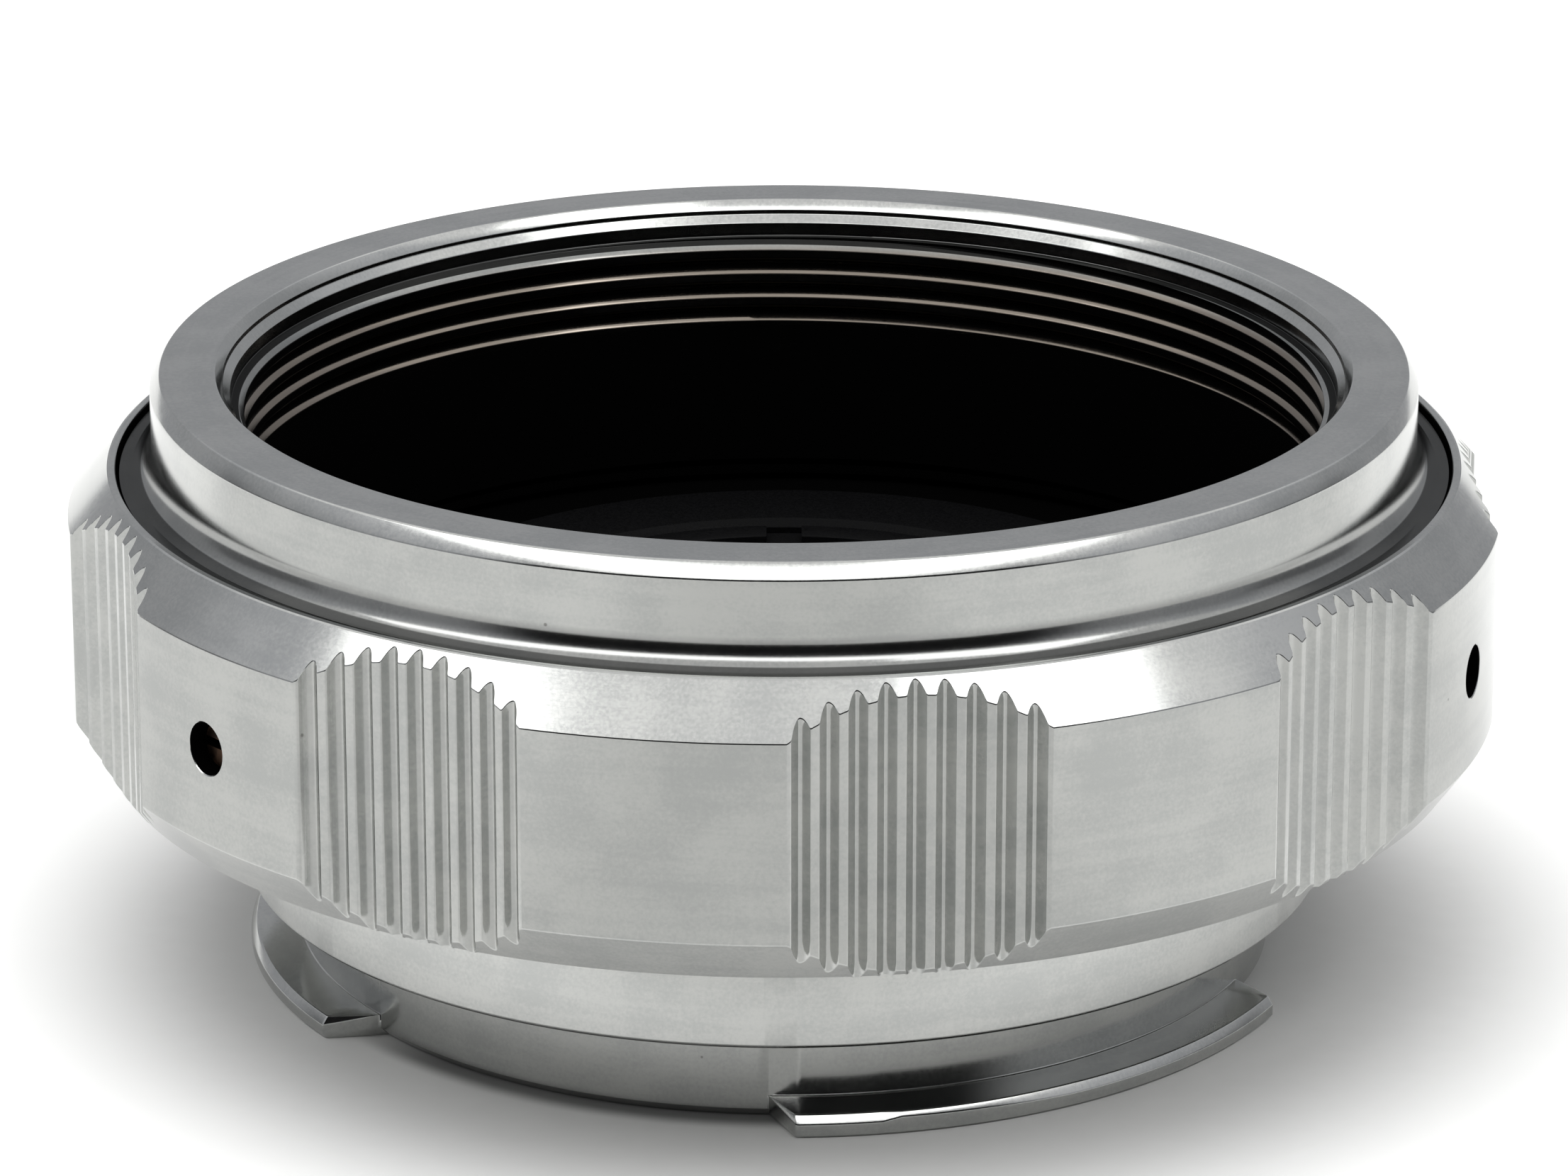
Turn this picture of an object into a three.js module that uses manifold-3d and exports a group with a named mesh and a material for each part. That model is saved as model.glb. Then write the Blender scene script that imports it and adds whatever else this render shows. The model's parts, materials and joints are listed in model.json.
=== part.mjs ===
// A low barlow lens body: an M42 threaded ring that turns in a knurled grip ring, lock screws that
// clamp it, a lens cell with a negative doublet, and a three-lug bayonet underneath.
// Millimetres, +Z along the optical axis towards the threaded mouth, origin at the centre of the base.
import * as THREE from 'three';
import { mergeVertices } from 'three/addons/utils/BufferGeometryUtils.js';
import Module from 'manifold-3d';

const wasm = await Module();
wasm.setup();

// ---- driving dimensions ----
const HEIGHT = 23.2;                  // base to the top face
const GAP = 0.3;                      // kept between pieces that touch

const THREAD_MAJOR = 21.0;            // M42 x 1 female thread, radii
const THREAD_MINOR = 20.46;
const THREAD_PITCH = 1.0;
const THREAD_TURNS = 4;
const THREAD_TOP = 22.1;              // where the first thread groove starts
const THREAD_LEAD = 0.35;             // height of the lead-in cone above it
const COUNTERBORE_R = 21.2;           // short plain bore above the thread

const TOP_RING_R = 24.0;              // outside of the threaded ring
const TOP_EDGE_IN = 21.54;            // flat top face, inner and outer edge
const TOP_EDGE_OUT = 23.61;
const TOP_CHAMFER = 0.5;
const TOP_RING_BOTTOM = 12.4;
const FLANGE_R = 25.2;                // flange that turns in the grip ring's recess
const FLANGE_TOP = 19.35;
const FLANGE_THICKNESS = 0.3;
const COVE_R = 1.2;                   // hollow sweep from the wall down to the flange
const COVE_SWEEP = 70;                // degrees
const VEE_DEPTH = 0.9;                // clamping groove for the lock screw pads

const GRIP_R = 27.23;                 // lands
const GRIP_BORE_R = TOP_RING_R + GAP;
const GRIP_TOP = 19.6;
const GRIP_TOP_R = 25.66;
const RECESS_R = 25.42;               // recess in the top face for the flange
const LAND_TOP = 17.76;
const LAND_BOTTOM = 10.24;
const GRIP_BOTTOM = 8.5;
const GRIP_BOTTOM_R = 25.99;
const WEB_TOP = 11.4;                 // floor inside the grip ring
const WEB_BORE_R = 13.2;

const SCALLOPS = 9;
const SCALLOP_PHASE = 10.2;           // degrees from -Y towards +X
const SCALLOP_HALF = 10;              // degrees
const SCALLOP_CENTRE_R = 26.15;       // ridge radius at the middle of a scallop
const GROOVES = 9;                    // V grooves in one scallop
const GROOVE_DEPTH = 0.4;

const SKIRT_R = 20.79;
const SEAT_Z = 3.58;                  // the face that meets the camera body
const NECK_R = 18.73;
const NECK_BORE_R = 17.0;
const LUG_R = 20.68;
const LUG_THICKNESS = 0.9;
const LUG_START = [0, 120, 240];      // degrees from -Y towards +X
const LUG_SPAN = 66;

const LOCK_Z = 13.95;                 // height of the lock screws' axes
const LOCK_ANGLES = [-50, 70, 190];
const LOCK_HOLE_R = 1.05;
const LOCK_SCREW_R = 0.95;
const LOCK_SCREW_IN = 24.6;           // inner and outer end, from the axis
const LOCK_SCREW_OUT = 26.6;
const PAD_TIP = 23.6;
const PAD_SHOULDER = 24.2;
const PAD_OUT = 24.5;

const MOUNT_SCREW_ANGLES = [45, 135, 225, 315];
const MOUNT_SCREW_RING = 18.9;
const MOUNT_SCREW_R = 0.8;
const MOUNT_HEAD_R = 1.5;
const MOUNT_SCREW_TIP = 5.2;

const CELL_FLANGE_R = 16.0;
const CELL_TOP = 12.7;
const CELL_BODY_R = WEB_BORE_R - GAP;
const CELL_BOTTOM = 4.0;
const CELL_BORE_R = 11.8;
const CELL_SHOULDER = 5.0;
const CLEAR_R = 10.4;                 // clear aperture
const LENS_R = 11.5;

const COARSE = 32;                    // segments round the small pieces
const MEDIUM = 60;                    // segments round the threaded ring, bayonet and cell
const FINE = 72;                      // segments round the grip ring, a multiple of SCALLOPS

// ---- helpers ----
const rad = THREE.MathUtils.degToRad;

/** Point on a circle round the Z axis, angle in degrees from -Y towards +X. */
function onCircle(radius, degrees) {
  return [radius * Math.sin(rad(degrees)), -radius * Math.cos(rad(degrees))];
}

/** Closed solid of revolution about Z from [radius, z] corners of its cross-section. */
function turned(corners, segments, phase = 0) {
  const points = corners.map(([r, z]) => new THREE.Vector2(r, z));
  if (corners[0][0] > 0) points.push(points[0].clone());
  const geometry = new THREE.LatheGeometry(points, segments, rad(phase));
  geometry.rotateX(Math.PI / 2);
  return geometry;
}

/** Corners along the circular arc of a lens surface, from one radius to another. */
function arc(fromR, toR, poleZ, curvature, steps) {
  const corners = [];
  for (let i = 0; i <= steps; i++) {
    const r = fromR + (toR - fromR) * i / steps;
    const sag = curvature === 0 ? 0 : (1 - Math.sqrt(1 - (r * curvature) ** 2)) / curvature;
    corners.push([r, poleZ + sag]);
  }
  return corners;
}

function toManifold(geometry) {
  const bare = geometry.clone();
  bare.deleteAttribute('normal');
  bare.deleteAttribute('uv');
  const merged = mergeVertices(bare, 1e-4);
  const p = merged.index.array;
  const kept = [];
  for (let i = 0; i < p.length; i += 3) {
    if (p[i] !== p[i + 1] && p[i + 1] !== p[i + 2] && p[i] !== p[i + 2]) kept.push(p[i], p[i + 1], p[i + 2]);
  }
  const solid = new wasm.Manifold(new wasm.Mesh({
    numProp: 3,
    vertProperties: new Float32Array(merged.attributes.position.array),
    triVerts: new Uint32Array(kept),
  }));
  return solid;
}

function toGeometry(solid) {
  const mesh = solid.getMesh();
  const geometry = new THREE.BufferGeometry();
  geometry.setAttribute('position', new THREE.BufferAttribute(mesh.vertProperties, 3));
  geometry.setIndex(new THREE.BufferAttribute(mesh.triVerts, 1));
  geometry.computeVertexNormals();
  return geometry;
}

/** Base geometry with some geometries joined on and others cut away. */
function carved(base, { add = [], cut = [] }) {
  let solid = toManifold(base);
  for (const piece of add) solid = solid.add(toManifold(piece));
  for (const piece of cut) solid = solid.subtract(toManifold(piece));
  return toGeometry(solid);
}

/** Rod along Z between two heights, optionally tapered. */
function rod(radius, z0, z1, sides, topRadius = radius) {
  const geometry = new THREE.CylinderGeometry(topRadius, radius, z1 - z0, sides);
  geometry.rotateX(Math.PI / 2);
  geometry.translate(0, 0, (z0 + z1) / 2);
  return geometry;
}

/** Lays a piece that was made along +Z outwards along a radius, at height z. */
function layRadial(geometry, degrees, z) {
  geometry.rotateX(Math.PI / 2);
  geometry.rotateZ(rad(degrees));
  geometry.translate(0, 0, z);
  return geometry;
}

function prism(outline, z0, z1) {
  const shape = new THREE.Shape(outline.map(([x, y]) => new THREE.Vector2(x, y)));
  const geometry = new THREE.ExtrudeGeometry(shape, { depth: z1 - z0, bevelEnabled: false });
  geometry.translate(0, 0, z0);
  return geometry;
}

// ---- materials ----
const material = (color, roughness, metalness) => new THREE.MeshStandardMaterial({ color, roughness, metalness });
const satinChrome = () => material(0xc4c5c4, 0.3, 1);
const brass = () => material(0x9a7642, 0.4, 1);
const steel = () => material(0x6b6258, 0.45, 1);
const blackAnodised = () => material(0x141414, 0.6, 0.2);
const glass = () => {
  const coated = material(0x9fc4b0, 0.05, 0);
  coated.transparent = true;
  coated.opacity = 0.35;
  return coated;
};

const group = new THREE.Group();
function place(name, geometry, look) {
  const mesh = new THREE.Mesh(geometry, look);
  mesh.name = name;
  group.add(mesh);
}

// ---- threaded ring ----
function threadRing() {
  const coveZ = FLANGE_TOP + COVE_R * Math.sin(rad(COVE_SWEEP));
  const cove = [0, 1, 2, 3].map((i) => rad(COVE_SWEEP * i / 3))
    .map((turn) => [TOP_RING_R + COVE_R * (1 - Math.cos(turn)), coveZ - COVE_R * Math.sin(turn)]);
  const corners = [
    [TOP_EDGE_IN, HEIGHT],
    [TOP_EDGE_OUT, HEIGHT],
    [TOP_RING_R, HEIGHT - TOP_CHAMFER],
    ...cove,
    [FLANGE_R, FLANGE_TOP],
    [FLANGE_R, FLANGE_TOP - FLANGE_THICKNESS],
    [TOP_RING_R, FLANGE_TOP - FLANGE_THICKNESS],
    [TOP_RING_R, LOCK_Z + VEE_DEPTH],
    [TOP_RING_R - VEE_DEPTH, LOCK_Z],
    [TOP_RING_R, LOCK_Z - VEE_DEPTH],
    [TOP_RING_R, TOP_RING_BOTTOM],
    [THREAD_MINOR, TOP_RING_BOTTOM],
  ];
  // thread crests and roots as plain rings, one pitch apart, from the bottom up
  for (let turn = THREAD_TURNS - 1; turn >= 0; turn--) {
    const top = THREAD_TOP - turn * THREAD_PITCH;
    corners.push([THREAD_MINOR, top - THREAD_PITCH], [THREAD_MAJOR, top - THREAD_PITCH / 2]);
  }
  corners.push([THREAD_MINOR, THREAD_TOP]);
  corners.push([COUNTERBORE_R, THREAD_TOP + THREAD_LEAD]);
  corners.push([COUNTERBORE_R, HEIGHT - (TOP_EDGE_IN - COUNTERBORE_R)]);
  return turned(corners.reverse(), MEDIUM);
}

// ---- grip ring ----
/** Plan outline of one scallop's cutter: a concave arc of V grooves, closed well outside the ring. */
function scallopOutline(centreAngle) {
  const halfChord = GRIP_R * Math.sin(rad(SCALLOP_HALF));
  const chordR = GRIP_R * Math.cos(rad(SCALLOP_HALF));
  const sagitta = chordR - SCALLOP_CENTRE_R;
  const arcR = (halfChord ** 2 + sagitta ** 2) / (2 * sagitta);
  const ridge = (u) => SCALLOP_CENTRE_R + arcR - Math.sqrt(arcR ** 2 - u ** 2);
  const outline = [];
  for (let i = 0; i <= 2 * GROOVES; i++) {
    const u = halfChord * (i / GROOVES - 1);
    outline.push([u, ridge(u) - (i % 2 ? GROOVE_DEPTH : 0)]);
  }
  const beyond = GRIP_R + 2;
  outline.push([halfChord, beyond], [-halfChord, beyond]);
  const a = rad(centreAngle);
  return outline.map(([u, r]) => [u * Math.cos(a) + r * Math.sin(a), u * Math.sin(a) - r * Math.cos(a)]);
}

function mountScrewPlace(geometry, degrees) {
  const [x, y] = onCircle(MOUNT_SCREW_RING, degrees);
  return geometry.translate(x, y, 0);
}

function gripRing() {
  const recessFloor = FLANGE_TOP - FLANGE_THICKNESS - GAP;
  const body = turned([
    [WEB_BORE_R, GRIP_BOTTOM],
    [GRIP_BOTTOM_R, GRIP_BOTTOM],
    [GRIP_R, LAND_BOTTOM],
    [GRIP_R, LAND_TOP],
    [GRIP_TOP_R, GRIP_TOP],
    [RECESS_R, GRIP_TOP],
    [RECESS_R, recessFloor],
    [GRIP_BORE_R, recessFloor],
    [GRIP_BORE_R, WEB_TOP],
    [WEB_BORE_R, WEB_TOP],
  ], FINE, SCALLOP_PHASE + 180 / FINE);
  const cut = [];
  for (let i = 0; i < SCALLOPS; i++) {
    const outline = scallopOutline(SCALLOP_PHASE + i * 360 / SCALLOPS);
    cut.push(prism(outline, GRIP_BOTTOM - 1, GRIP_TOP + 1));
  }
  for (const angle of LOCK_ANGLES) {
    cut.push(layRadial(rod(LOCK_HOLE_R, GRIP_BORE_R - 1, GRIP_R + 1, 16), angle, LOCK_Z));
  }
  const clearance = 0.1;
  for (const angle of MOUNT_SCREW_ANGLES) {
    const hole = rod(MOUNT_SCREW_R + clearance, GRIP_BOTTOM - 1, WEB_TOP + 1, 12);
    const sink = rod(MOUNT_SCREW_R + clearance, WEB_TOP - 0.8, WEB_TOP + 0.2, 16, MOUNT_HEAD_R + 0.4);
    cut.push(mountScrewPlace(hole, angle), mountScrewPlace(sink, angle));
  }
  return carved(body, { cut });
}

// ---- bayonet ----
function lug(start) {
  const steps = 12;
  const outline = [];
  for (let i = 0; i <= steps; i++) outline.push(onCircle(LUG_R, start + LUG_SPAN * i / steps));
  for (let i = steps; i >= 0; i--) outline.push(onCircle(NECK_R - 0.8, start + LUG_SPAN * i / steps));
  return prism(outline, 0, LUG_THICKNESS);
}

function bayonetMount() {
  const top = GRIP_BOTTOM - GAP;
  const edge = 0.15;
  const body = turned([
    [NECK_BORE_R, 0.3],
    [NECK_BORE_R + 0.3, 0],
    [NECK_R, 0],
    [NECK_R, SEAT_Z],
    [SKIRT_R - edge, SEAT_Z],
    [SKIRT_R, SEAT_Z + edge],
    [SKIRT_R, top],
    [NECK_BORE_R, top],
  ], MEDIUM);
  const cut = MOUNT_SCREW_ANGLES.map((angle) =>
    mountScrewPlace(rod(MOUNT_SCREW_R + 0.1, MOUNT_SCREW_TIP - 0.5, top + 1, 12), angle));
  return carved(body, { add: LUG_START.map(lug), cut });
}

// ---- screws and pads ----
function slot(width, depth, length, topZ) {
  const box = new THREE.BoxGeometry(length, width, 2 * depth);
  box.translate(0, 0, topZ);
  return box;
}

function lockScrew(angle) {
  const screw = rod(LOCK_SCREW_R, LOCK_SCREW_IN, LOCK_SCREW_OUT, 16);
  const slotted = carved(screw, { cut: [slot(0.35, 0.6, 3, LOCK_SCREW_OUT)] });
  return layRadial(slotted, angle, LOCK_Z);
}

function lockPad(angle) {
  const nose = 0.3;
  const pad = turned([
    [0, PAD_TIP],
    [nose, PAD_TIP],
    [LOCK_SCREW_R - 0.1, PAD_SHOULDER],
    [LOCK_SCREW_R - 0.1, PAD_OUT],
    [0, PAD_OUT],
  ], 16);
  return layRadial(pad, angle, LOCK_Z);
}

function mountScrew(angle) {
  const headTop = WEB_TOP - 0.05;
  const screw = turned([
    [0, MOUNT_SCREW_TIP],
    [MOUNT_SCREW_R, MOUNT_SCREW_TIP],
    [MOUNT_SCREW_R, headTop - 0.75],
    [MOUNT_HEAD_R, headTop],
    [0, headTop],
  ], 16);
  return mountScrewPlace(carved(screw, { cut: [slot(0.4, 0.35, 4, headTop)] }), angle);
}

// ---- lens cell and glass ----
function spannerSlots(innerR, outerR, faceZ, depth) {
  return [0, 180].map((angle) => {
    const box = new THREE.BoxGeometry(1.4, outerR - innerR + 1, 2 * depth);
    const [x, y] = onCircle((innerR + outerR) / 2, angle);
    return box.translate(x, y, faceZ);
  });
}

function lensCell() {
  return turned([
    [CLEAR_R, CELL_BOTTOM + 0.4],
    [CLEAR_R + 0.4, CELL_BOTTOM],
    [CELL_BODY_R - 0.3, CELL_BOTTOM],
    [CELL_BODY_R, CELL_BOTTOM + 0.3],
    [CELL_BODY_R, WEB_TOP + GAP],
    [CELL_FLANGE_R, WEB_TOP + GAP],
    [CELL_FLANGE_R, CELL_TOP - 0.2],
    [CELL_FLANGE_R - 0.2, CELL_TOP],
    [CELL_BORE_R + 0.3, CELL_TOP],
    [CELL_BORE_R, CELL_TOP - 0.3],
    [CELL_BORE_R, CELL_SHOULDER],
    [CLEAR_R, CELL_SHOULDER],
  ], MEDIUM);
}

function rearLens() {
  const bottom = arc(0, CLEAR_R, 5.9, -1 / 90, 3);
  const top = arc(0, CLEAR_R, 8.5, -1 / 55, 3).reverse();
  return turned([...bottom, [LENS_R, CELL_SHOULDER + GAP], [LENS_R, 7.45], ...top], COARSE);
}

function frontLens() {
  const bottom = arc(0, CLEAR_R, 9.4, -1 / 50, 3);
  const top = arc(0, CLEAR_R, 10.6, 1 / 60, 3).reverse();
  return turned([...bottom, [LENS_R, 8.3], [LENS_R, 11.6], ...top], COARSE);
}

function lensSpacer() {
  return turned([[LENS_R - 0.8, 7.75], [LENS_R, 7.75], [LENS_R, 8.05], [LENS_R - 0.8, 8.05]], COARSE);
}

function retainingRing() {
  const inner = CLEAR_R - 0.2;
  const ring = turned([
    [inner, 11.9],
    [LENS_R, 11.9],
    [LENS_R, CELL_TOP - 0.1],
    [inner + 0.4, CELL_TOP - 0.1],
  ], COARSE);
  return carved(ring, { cut: spannerSlots(inner, LENS_R, CELL_TOP - 0.1, 0.35) });
}

function cellLockRing() {
  const outer = 15.6;
  const bottom = 6.9;
  const ring = turned([
    [WEB_BORE_R, bottom],
    [outer, bottom],
    [outer, GRIP_BOTTOM - GAP],
    [WEB_BORE_R, GRIP_BOTTOM - GAP],
  ], COARSE);
  return carved(ring, { cut: spannerSlots(WEB_BORE_R, outer, bottom, 0.5) });
}

function slipWasher() {
  const z = WEB_TOP + GAP;
  const thickness = 0.4;
  return turned([[20.7, z], [23.7, z], [23.7, z + thickness], [20.7, z + thickness]], MEDIUM);
}

// ---- assembly ----
place('thread_ring', threadRing(), satinChrome());
place('grip_ring', gripRing(), satinChrome());
place('bayonet_mount', bayonetMount(), satinChrome());
LOCK_ANGLES.forEach((angle, i) => {
  place(`set_screw_${i + 1}`, lockScrew(angle), steel());
  place(`set_screw_pad_${i + 1}`, lockPad(angle), brass());
});
MOUNT_SCREW_ANGLES.forEach((angle, i) => place(`mount_screw_${i + 1}`, mountScrew(angle), blackAnodised()));
place('slip_washer', slipWasher(), brass());
place('lens_cell', lensCell(), blackAnodised());
place('front_lens', frontLens(), glass());
place('lens_spacer', lensSpacer(), blackAnodised());
place('rear_lens', rearLens(), glass());
place('lens_retaining_ring', retainingRing(), blackAnodised());
place('cell_lock_ring', cellLockRing(), blackAnodised());

export default group;
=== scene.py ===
"""Finished look of a low barlow lens: a threaded ring that turns in a scalloped grip ring, over a bayonet.

Lengths are millimetres until a mesh is written. Angles are degrees round Z, from -Y towards +X.
"""

import json
import math

import bmesh
import bpy
import numpy as np
from mathutils import Matrix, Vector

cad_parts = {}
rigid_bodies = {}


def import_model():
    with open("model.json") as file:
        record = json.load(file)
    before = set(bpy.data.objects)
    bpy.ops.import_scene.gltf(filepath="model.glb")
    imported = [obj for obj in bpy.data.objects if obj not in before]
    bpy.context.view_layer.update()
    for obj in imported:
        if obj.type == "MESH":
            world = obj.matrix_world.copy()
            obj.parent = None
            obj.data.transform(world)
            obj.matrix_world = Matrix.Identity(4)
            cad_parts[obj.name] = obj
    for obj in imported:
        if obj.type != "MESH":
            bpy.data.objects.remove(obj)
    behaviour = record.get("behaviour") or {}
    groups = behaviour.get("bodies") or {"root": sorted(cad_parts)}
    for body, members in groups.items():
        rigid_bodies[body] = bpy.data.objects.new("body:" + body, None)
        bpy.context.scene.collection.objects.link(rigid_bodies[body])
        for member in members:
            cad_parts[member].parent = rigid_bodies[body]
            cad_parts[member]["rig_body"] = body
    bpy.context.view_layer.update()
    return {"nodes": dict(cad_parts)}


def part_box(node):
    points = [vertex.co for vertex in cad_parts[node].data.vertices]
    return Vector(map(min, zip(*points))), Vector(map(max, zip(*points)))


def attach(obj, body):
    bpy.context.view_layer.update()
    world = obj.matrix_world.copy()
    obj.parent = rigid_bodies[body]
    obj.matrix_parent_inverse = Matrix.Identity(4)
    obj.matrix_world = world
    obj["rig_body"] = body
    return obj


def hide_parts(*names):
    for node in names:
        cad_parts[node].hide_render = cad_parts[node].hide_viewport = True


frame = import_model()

MM = 0.001
SAME_LEVEL = 0.02                     # corners this close count as one radius or height
MERGE_DISTANCE = 1e-7                 # metres
FLAT_DISTANCE = 1e-8                  # metres


# ---- sizes, read from the frame where it has them ----
def corners_of(node):
    """Radius and height of each corner of a CAD node."""
    points = np.array([v.co for v in frame["nodes"][node].data.vertices]) / MM
    return np.hypot(points[:, 0], points[:, 1]), points[:, 2]


def radii_at(node, height):
    """Smallest and largest radius of a node's corners at one height."""
    radius, z = corners_of(node)
    level = radius[np.abs(z - height) < SAME_LEVEL]
    return level.min(), level.max()


def heights_at(node, at_radius):
    """Lowest and highest corner of a node at one radius."""
    radius, z = corners_of(node)
    level = z[np.abs(radius - at_radius) < SAME_LEVEL]
    return level.min(), level.max()


def extent(node):
    """Smallest and largest radius, then lowest and highest point of a turned node."""
    radius, z = corners_of(node)
    return radius.min(), radius.max(), z.min(), z.max()


def centre_of(node):
    """Middle of a node's box, in mm."""
    low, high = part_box(node)
    return (low + high) / 2 / MM


THREAD_MINOR, FLANGE_R, RING_BOTTOM, RING_TOP = extent("thread_ring")
RING_R = radii_at("thread_ring", RING_BOTTOM)[1]
RING_FLAT_IN, RING_FLAT_OUT = radii_at("thread_ring", RING_TOP)
FLANGE_BOTTOM, FLANGE_TOP = heights_at("thread_ring", FLANGE_R)
THREAD_PITCH = 1.0
THREAD_DEPTH = 0.42                   # crests and roots are worn, so it is less than a sharp thread's
THREAD_TURNS = 4

_, GRIP_R, GRIP_BOTTOM, GRIP_TOP = extent("grip_ring")
LAND_BOTTOM, LAND_TOP = heights_at("grip_ring", GRIP_R)
RECESS_R, GRIP_FLAT_OUT = radii_at("grip_ring", GRIP_TOP)
RECESS_FLOOR = heights_at("grip_ring", RECESS_R)[0]
WEB_BORE_R, GRIP_BOTTOM_R = radii_at("grip_ring", GRIP_BOTTOM)
WEB_TOP = heights_at("grip_ring", WEB_BORE_R)[1]
GRIP_BORE_R = radii_at("grip_ring", WEB_TOP)[1]

NECK_BORE_R, SKIRT_R, _, SKIRT_TOP = extent("bayonet_mount")
LUG_R = radii_at("bayonet_mount", 0)[1]
LUG_TOP = heights_at("bayonet_mount", LUG_R)[1]
SEAT_Z = 3.58
NECK_R = radii_at("bayonet_mount", SEAT_Z)[0]

LOCK_Z = centre_of("set_screw_1").z
SCREW_NAMES = [f"set_screw_{i}" for i in (1, 2, 3)]
PAD_NAMES = [f"set_screw_pad_{i}" for i in (1, 2, 3)]
MOUNT_SCREW_NAMES = [f"mount_screw_{i}" for i in (1, 2, 3, 4)]

SCALLOPS = 9
SCALLOP_PHASE = 10.2                  # direction of the first scallop
SCALLOP_HALF = 10                     # half the angle that a scallop takes up
SCALLOP_CENTRE_R = 26.15              # ridge radius at the middle of a scallop
GROOVES = 9                           # in each scallop
GROOVE_DEPTH = 0.4
SCREW_HOLE_R = 0.99
MOUNT_HOLE_R = 0.9
GAP = 0.3                             # kept between pieces that touch


# ---- mesh helpers ----
def azimuth_of(node):
    """Direction of a node's centre, in degrees from -Y towards +X."""
    place = centre_of(node)
    return math.degrees(math.atan2(place.x, -place.y))


def rounded(corners, reach, steps=4):
    """Closed cross-sections (columns, corners, 2) with each corner rounded by its reach."""
    corners = np.asarray(corners, float)
    reach = np.broadcast_to(np.asarray(reach, float), corners.shape[:2])
    back = np.roll(corners, 1, axis=1) - corners
    ahead = np.roll(corners, -1, axis=1) - corners
    back_length = np.maximum(np.linalg.norm(back, axis=2), 1e-9)
    ahead_length = np.maximum(np.linalg.norm(ahead, axis=2), 1e-9)
    most = 0.45 * np.minimum(back_length, ahead_length)
    used = np.minimum(reach, most)
    start = corners + back * (used / back_length)[..., None]
    end = corners + ahead * (used / ahead_length)[..., None]
    t = np.linspace(0, 1, steps)[None, None, :, None]
    first, middle, last = start[:, :, None], corners[:, :, None], end[:, :, None]
    curve = (1 - t) ** 2 * first + 2 * t * (1 - t) * middle + t ** 2 * last
    return curve.reshape(len(corners), -1, 2)


def sections(count, *rows):
    """One cross-section for each column, from (radius, height) rows of numbers or of one value a column."""
    made = []
    for radius, z in rows:
        made.append(np.stack([np.broadcast_to(np.asarray(value, float), count) for value in (radius, z)], -1))
    return np.stack(made, 1)


def around(columns, degrees):
    """Mesh data joining closed (radius, height) columns at these angles, all the way round.

    A last column one full turn past the first lies on it, and solid() merges the two.
    """
    columns = np.asarray(columns, float)
    turn = np.radians(degrees)[:, None]
    radius, z = columns[..., 0], columns[..., 1]
    points = np.stack([radius * np.sin(turn), -radius * np.cos(turn), z], -1).reshape(-1, 3)
    count, size = columns.shape[:2]
    overlapping = degrees[-1] - degrees[0] > 359.99
    spans = count - 1 if overlapping else count
    a, p = np.meshgrid(np.arange(spans), np.arange(size), indexing="ij")
    b, q = (a + 1) % count, (p + 1) % size
    faces = np.stack([a * size + p, b * size + p, b * size + q, a * size + q], -1).reshape(-1, 4)
    return points, faces


def turned(section, reach, segments, steps=4):
    """Mesh data of a solid of revolution about Z with rounded corners."""
    column = rounded([section], reach, steps)[0]
    return around(np.repeat([column], segments, 0), np.arange(segments) * 360 / segments)


def block(length, width, height, centre):
    """Mesh data of a box, for cutting slots."""
    half = np.array([length, width, height]) / 2
    points = np.array([[x, y, z] for x in (-1, 1) for y in (-1, 1) for z in (-1, 1)]) * half + centre
    faces = [[0, 1, 3, 2], [4, 6, 7, 5], [0, 4, 5, 1], [2, 3, 7, 6], [0, 2, 6, 4], [1, 5, 7, 3]]
    return points, np.array(faces)


def placed(data, matrix):
    """Mesh data moved by a matrix."""
    points, faces = data
    matrix = np.array(matrix)
    return points @ matrix[:3, :3].T + matrix[:3, 3], faces


def radially(degrees, height):
    """Matrix that lays a piece made along +Z outwards along a radius."""
    out = Matrix.Rotation(math.radians(degrees), 4, "Z") @ Matrix.Rotation(math.radians(90), 4, "X")
    return Matrix.Translation((0, 0, height)) @ out


def solid(name, parts):
    """Object from mesh data, with shared corners merged and faces pointing out."""
    bm = bmesh.new()
    for points, faces in parts:
        made = [bm.verts.new(p * MM) for p in points]
        for face in faces:
            bm.faces.new([made[i] for i in face])
    bmesh.ops.remove_doubles(bm, verts=bm.verts, dist=MERGE_DISTANCE)
    bmesh.ops.dissolve_degenerate(bm, edges=bm.edges, dist=FLAT_DISTANCE)
    loose = [edge for edge in bm.edges if not edge.link_faces]
    bmesh.ops.delete(bm, geom=loose, context="EDGES")
    bmesh.ops.recalc_face_normals(bm, faces=bm.faces)
    mesh = bpy.data.meshes.new(name)
    bm.to_mesh(mesh)
    bm.free()
    piece = bpy.data.objects.new(name, mesh)
    bpy.context.scene.collection.objects.link(piece)
    return piece


def carve(piece, parts):
    """Cuts closed mesh data out of a piece."""
    cutter = solid("cutter", parts)
    modifier = piece.modifiers.new("cut", "BOOLEAN")
    modifier.solver = "EXACT"
    modifier.object = cutter
    bpy.context.view_layer.update()
    evaluated = piece.evaluated_get(bpy.context.evaluated_depsgraph_get())
    result = bpy.data.meshes.new_from_object(evaluated)
    piece.modifiers.clear()
    piece.data = result
    bpy.data.objects.remove(cutter)


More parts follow.
